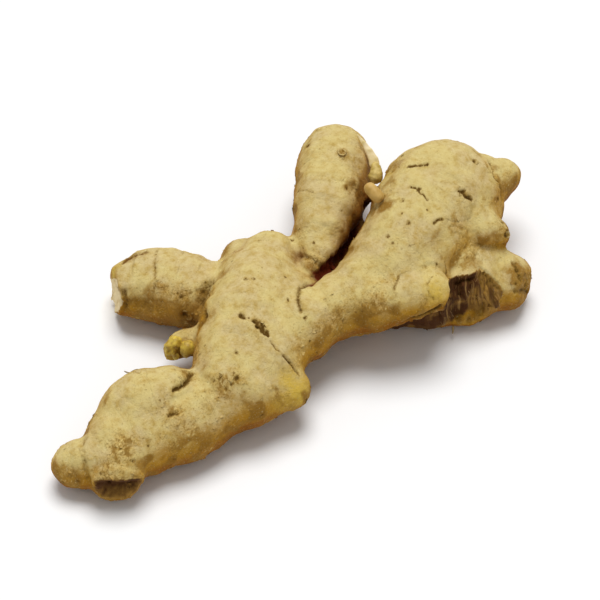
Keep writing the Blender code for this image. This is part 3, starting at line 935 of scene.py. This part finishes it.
def makeFlakes(skin):  # dry cork scales that lift on the rough patches
    tree, given, made = newTree("corkFlakes", flakeSizes)
    spots = scatterSpots(tree, given, "rough")
    sheet = addNode(tree, "GeometryNodeMeshGrid", {
        "Size X": given["Length"], "Size Y": given["Width"],
        "Vertices X": 4, "Vertices Y": 3,
    })
    # Its ends curl up with the square of the way from its middle, and the middle sinks into the skin.
    across = addNode(tree, "ShaderNodeSeparateXYZ", {0: addNode(tree, "GeometryNodeInputPosition")})
    square = addNode(tree, "ShaderNodeMath", {0: across, 1: across}, operation="MULTIPLY")
    curl = addNode(tree, "ShaderNodeMath", {
        0: given["Curl"], 1: given["Length"],
    }, operation="DIVIDE")
    lift = addNode(tree, "ShaderNodeMath", {0: square, 1: curl}, operation="MULTIPLY")
    sunk = addNode(tree, "ShaderNodeMath", {0: lift, 1: given["Sink"]}, operation="SUBTRACT")
    bent = addNode(tree, "GeometryNodeSetPosition", {
        "Geometry": sheet, "Offset": addNode(tree, "ShaderNodeCombineXYZ", {2: sunk}),
    })
    real = setOnSpots(tree, given, spots, bent, spots.outputs["Rotation"], flakeChances)
    cork = skin.data.materials[0]
    endTree(tree, made, real, cork)
    growPiece("corkFlakes", skin.data.copy(), tree, flakeSizes, cork)


strandSizes = {"Density": 40000.0, "Length": 0.0036, "Thickness": 0.00014, "Bow": 0.0004, "Seed": 9}
strandChances = {
    "leastTurn": (-0.3, -0.3, -0.4), "mostTurn": (0.3, 0.3, 0.4), "smallest": 0.4, "largest": 1.2,
}


def makeStrands(skin):  # torn strands on the broken face
    tree, given, made = newTree("tornStrands", strandSizes)
    spots = scatterSpots(tree, given, "strandy")
    half = addNode(tree, "ShaderNodeMath", {0: given["Length"], 1: 0.5}, operation="MULTIPLY")
    less = addNode(tree, "ShaderNodeMath", {0: half, 1: -1.0}, operation="MULTIPLY")
    strand = addNode(tree, "GeometryNodeCurveQuadraticBezier", {
        "Resolution": 4, "Start": addNode(tree, "ShaderNodeCombineXYZ", {0: less}),
        "Middle": addNode(tree, "ShaderNodeCombineXYZ", {2: given["Bow"]}),
        "End": addNode(tree, "ShaderNodeCombineXYZ", {0: half}),
    })
    profile = addNode(tree, "GeometryNodeCurvePrimitiveCircle", {
        "Resolution": 3, "Radius": given["Thickness"],
    })
    tube = addNode(tree, "GeometryNodeCurveToMesh", {
        "Curve": strand, "Profile Curve": profile, "Fill Caps": True,
    })
    # Lay each strand down the face: its length follows the way down, its back follows the normal.
    down = addNode(tree, "FunctionNodeAlignRotationToVector", {"Vector": (0, 0, -1)}, axis="X")
    flat = addNode(tree, "FunctionNodeAlignRotationToVector", {
        "Rotation": down, "Vector": spots.outputs["Normal"],
    }, axis="Z", pivot_axis="X")
    real = setOnSpots(tree, given, spots, tube, flat, strandChances)
    # Ginger fibre, snapped and dried: dull brown strands, darker in places. Real ones are too fine
    # to show in the picture, so these are drawn as coarse as they need to be seen.
    fibre = plainMaterial("tornStrand", "#A07A40", "#6E4A22", 1.5, 0.7)
    endTree(tree, made, real, fibre)
    growPiece("tornStrands", skin.data.copy(), tree, strandSizes, fibre)


collarSizes = {"Thickness": 0.22, "Flatness": 0.5, "Unevenness": 0.0009, "Fineness": 1100.0}

# Scars of fallen roots: photo pixel and radius in mm.
rootScars = [
    (342, 152, 1.3), (474.5, 162, 1.2), (409, 223.5, 0.9), (403, 201, 0.9), (388, 236, 0.9),
    (236, 353, 0.8), (185, 314, 1.7), (133, 461, 0.9), (246, 279, 0.7), (254, 279, 0.7),
    (308, 146, 1.1), (305, 318, 0.8), (506, 235, 1.2),
]


def makeCollars(surface):  # a low collar round each root scar
    base = bpy.data.meshes.new("rootCollars")
    found = [surface.ray_cast(*photoRay(px, py)) for px, py, radius in rootScars]
    base.from_pydata([hit[0] for hit in found], [], [])
    addField(base, "radius", [radius * mm for px, py, radius in rootScars])
    addField(base, "facing", [tuple(hit[1]) for hit in found], "FLOAT_VECTOR", "vector")
    tree, given, made = newTree("rootCollars", collarSizes)
    circle = addNode(tree, "GeometryNodeCurvePrimitiveCircle", {"Resolution": 14, "Radius": 1.0})
    profile = addNode(tree, "GeometryNodeCurvePrimitiveCircle", {
        "Resolution": 6, "Radius": given["Thickness"],
    })
    collar = addNode(tree, "GeometryNodeCurveToMesh", {"Curve": circle, "Profile Curve": profile})
    radius = addNode(tree, "GeometryNodeInputNamedAttribute", {"Name": "radius"}, data_type="FLOAT")
    facing = addNode(tree, "GeometryNodeInputNamedAttribute", {"Name": "facing"}, data_type="FLOAT_VECTOR")
    aim = addNode(tree, "FunctionNodeAlignRotationToVector", {"Vector": facing}, axis="Z")
    low = addNode(tree, "ShaderNodeMath", {0: radius, 1: given["Flatness"]}, operation="MULTIPLY")
    placed = addNode(tree, "GeometryNodeInstanceOnPoints", {
        "Points": given["Geometry"], "Instance": collar, "Rotation": aim,
        "Scale": addNode(tree, "ShaderNodeCombineXYZ", {0: radius, 1: radius, 2: low}),
    })
    real = addNode(tree, "GeometryNodeRealizeInstances", {0: placed})
    wear = addNode(tree, "ShaderNodeTexNoise", {
        "Vector": addNode(tree, "GeometryNodeInputPosition"), "Scale": given["Fineness"],
    })
    shift = addNode(tree, "ShaderNodeVectorMath", {
        0: wear.outputs["Color"], 1: (0.5, 0.5, 0.5),
    }, operation="SUBTRACT")
    scaled = addNode(tree, "ShaderNodeVectorMath", {
        0: shift, "Scale": given["Unevenness"],
    }, operation="SCALE")
    worn = addNode(tree, "GeometryNodeSetPosition", {"Geometry": real, "Offset": scaled})
    # Cork that closed over a fallen root, grown thick: a dull brown crust.
    cork = plainMaterial("collarCork", "#C9B06C", "#9A7B3A", 0.8, 0.65)
    endTree(tree, made, worn, cork)
    growPiece("rootCollars", base, tree, collarSizes, cork)


# Small grown pieces, each made of soft lofts

loftShape = {"sides": 14, "steps": 5, "ends": (0.35, 0.66, 0.85, 0.95, 1)}  # shares of the half width

# A loft's stops are photo pixels, with how far each stands off the skin and its half width in mm.
# Its level is the skin pixel that gives its depth, and flat is its thickness as a share of its
# width. A look is the material's name, its light and deep colours, the size of its grain in mm and
# its roughness.
smallPieces = {
    # Young bud scales, grown in a tight cluster: moist and thin, so yellow and a little glossy.
    "yellowBuds": {
        "lofts": [
            {"stops": [(180, 337, 0.2, 2.2), (173, 345, 0.7, 2.6), (168, 355, 0.6, 2.3)]},
            {"stops": [(172, 343, 0.5, 1.8), (168, 350, 0.6, 1.8)]},
            {"stops": [(189, 340, 0.0, 2.4), (187, 349, 0.3, 2.7), (185, 356, 0.0, 2.0)]},
            {"stops": [(176, 353, 0.2, 1.6), (175, 359, 0.1, 1.4)]},
        ],
        "rough": 0.6, "seed": 3, "look": ("budScale", "#DCC04A", "#A88830", 1.5, 0.55),
    },
    # Skin of a new shoot, grown thin and dried a little: smooth, even and warm.
    "sideNub": {
        "lofts": [{
            "stops": [
                (366.5, 184, 0.6, 1.9), (370.5, 189, 1.2, 2.2), (376, 195, 1.6, 2.3), (382, 201, 1.5, 2.2),
            ],
            "level": (382, 200),
        }],
        "rough": 0.12, "seed": 7, "look": ("nubSkin", "#D6B064", "#B48E40", 3.0, 0.6),
    },
    # Papery peel, dried as it lifted: pale and thin, with a faint grain.
    "peelFlap": {
        "lofts": [{
            "stops": [
                (357, 134, 0, 0.35), (364, 143.5, 0, 0.8), (369.5, 152, 0.1, 1.3),
                (373.5, 160.5, 0.2, 1.8), (375, 168, 0.3, 2.0),
            ],
            "level": (366, 160), "flat": 0.4,
        }],
        "rough": 0.2, "seed": 13, "look": ("paperyPeel", "#F2E0B4", "#DCC67E", 3.0, 0.6),
    },
    # The same peel where it folded while fresh: yellower and lumpy.
    "peelCrumple": {
        "lofts": [{
            "stops": [
                (374, 162, 0.2, 1.2), (376, 170, 0.5, 2.2), (375.5, 177, 0.8, 2.6), (374, 184, 0.6, 1.6),
            ],
            "level": (366, 168), "flat": 0.7,
        }],
        "rough": 0.35, "seed": 17, "look": ("yellowPeel", "#DCC476", "#B0943A", 2.0, 0.6),
    },
    # Root hairs, dried to threads: dull and brown.
    "rootHairs": {
        "lofts": [
            {"stops": [(453, 326, 0.4, 0.5), (453, 330, 0.5, 0.4), (452.5, 334, 0.6, 0.2)]},
            {"stops": [(131, 372, 0, 0.25), (135, 370, 0.2, 0.22), (139, 369, 0.3, 0.12)]},
            {"stops": [(130, 373, 0, 0.25), (126, 372, 0.2, 0.2), (124, 371, 0.3, 0.12)]},
        ],
        "rough": 0.05, "seed": 19, "look": ("rootHair", "#A89060", "#7A6238", 1.0, 0.7),
    },
}


def besideSkin(tree, px, py, out, level):  # the pixel's place, as deep as the skin at another pixel
    back = viewAxes()[0]
    near = onSkin(tree, *level) * mm
    start, way = photoRay(px, py)
    return start + way * ((near - start).dot(-back) / way.dot(-back)) + back * out * mm


def curvePoint(points, t):  # a place on the smooth curve through the points, t counted in points
    last = len(points) - 1
    k = min(int(t), last - 1)
    f = t - k
    p0, p1, p2, p3 = (points[min(max(k + j, 0), last)] for j in (-1, 0, 1, 2))
    bend = (2 * p0 - 5 * p1 + 4 * p2 - p3) * f * f + (3 * p1 - p0 - 3 * p2 + p3) * f ** 3
    return 0.5 * (2 * p1 + (p2 - p0) * f + bend), (p2 - p1).normalized(), k, f


def grownLoft(bm, tree, loft):
    stops, sides, steps, ends = loft["stops"], *loftShape.values()
    places = [besideSkin(tree, px, py, out, loft.get("level", (px, py))) for px, py, out, radius in stops]
    radii = [radius * mm for px, py, out, radius in stops]
    rings = []
    count = (len(stops) - 1) * steps
    for i in range(count + 1):
        centre, ahead, k, f = curvePoint(places, i / steps)
        radius = radii[k] * (1 - f) + radii[k + 1] * f
        radius *= ends[min(i, count - i, len(ends) - 1)]
        across = ahead.cross(viewAxes()[0]).normalized()
        back = across.cross(ahead) * loft.get("flat", 1)
        ring = []
        for j in range(sides):
            angle = 2 * math.pi * j / sides
            spoke = across * math.cos(angle) + back * math.sin(angle)
            ring.append(bm.verts.new(centre + spoke * radius))
        rings.append(ring)
    for one, two in zip(rings[:-1], rings[1:]):
        for j in range(sides):
            bm.faces.new((one[j], one[(j + 1) % sides], two[(j + 1) % sides], two[j]))
    bm.faces.new(list(reversed(rings[0])))
    bm.faces.new(rings[-1])


def makeSmallPiece(name, tree, piece):  # one mesh of several lofts, smoothed and made uneven
    bm = bmesh.new()
    for loft in piece["lofts"]:
        grownLoft(bm, tree, loft)
    bmesh.ops.recalc_face_normals(bm, faces=bm.faces)
    mesh = bpy.data.meshes.new(name)
    bm.to_mesh(mesh)
    bm.free()
    made = addObject(name, mesh)
    smooth = made.modifiers.new("smooth", "SUBSURF")
    smooth.levels = smooth.render_levels = 1
    applyModifiers(made)
    rough, shift = piece["rough"], Vector((piece["seed"], 0, 0))
    for vertex in made.data.vertices:
        place = vertex.co / mm
        bump = noise.noise(place / 1.6 + shift) * rough + noise.noise(place / 0.6) * rough * 0.4
        vertex.co = vertex.co + vertex.normal * bump * mm
    made.data.shade_smooth()
    finishPiece(made, plainMaterial(*piece["look"]))


# Floor and soft studio light

studio = {
    "floorSize": 6,
    "floorGap": 0.0001,  # keeps the flat underside clear of the floor
    "floorColour": "#F7F7F7",
    "floorRoughness": 0.9,
    "worldStrength": 0.4,
    "keyStrength": 2.4,
    "keySoftness": 35,  # degrees across
    "keyFrom": (0.17, 0.24, 1.0),  # high, and a little behind
}


def makeStudio():
    half = studio["floorSize"] / 2
    low = -studio["floorGap"]
    corners = [(-half, -half, low), (half, -half, low), (half, half, low), (-half, half, low)]
    floorMesh = bpy.data.meshes.new("floor")
    floorMesh.from_pydata(corners, [], [(0, 1, 2, 3)])
    floor = addObject("floor", floorMesh)
    # Uncoated paper: pale, even and matte, so that only the soft shadow shows on it.
    paper, shader = newMaterial("palePaper", studio["floorRoughness"])
    shader.inputs["Base Color"].default_value = linear(studio["floorColour"])
    floorMesh.materials.append(paper)
    world = bpy.data.worlds.new("studio")
    world.use_nodes = True
    sky = world.node_tree.nodes["Background"]
    sky.inputs["Color"].default_value = (1, 1, 1, 1)
    sky.inputs["Strength"].default_value = studio["worldStrength"]
    bpy.context.scene.world = world
    data = bpy.data.lights.new("key", "SUN")
    data.energy = studio["keyStrength"]
    data.angle = math.radians(studio["keySoftness"])
    lamp = addObject("key", data)
    lamp.location = studio["keyFrom"]
    lamp.rotation_euler = Vector(studio["keyFrom"]).to_track_quat("Z", "Y").to_euler()
    bpy.context.scene.view_settings.view_transform = "Standard"
    print("studio ready")


makeCamera()
makeStudio()
skin = makeSkin()
makeFlakes(skin)
makeStrands(skin)
surface = surfaceTree(skin.data)
makeCollars(surface)
for name, piece in smallPieces.items():
    makeSmallPiece(name, surface, piece)
print("pieces ready")
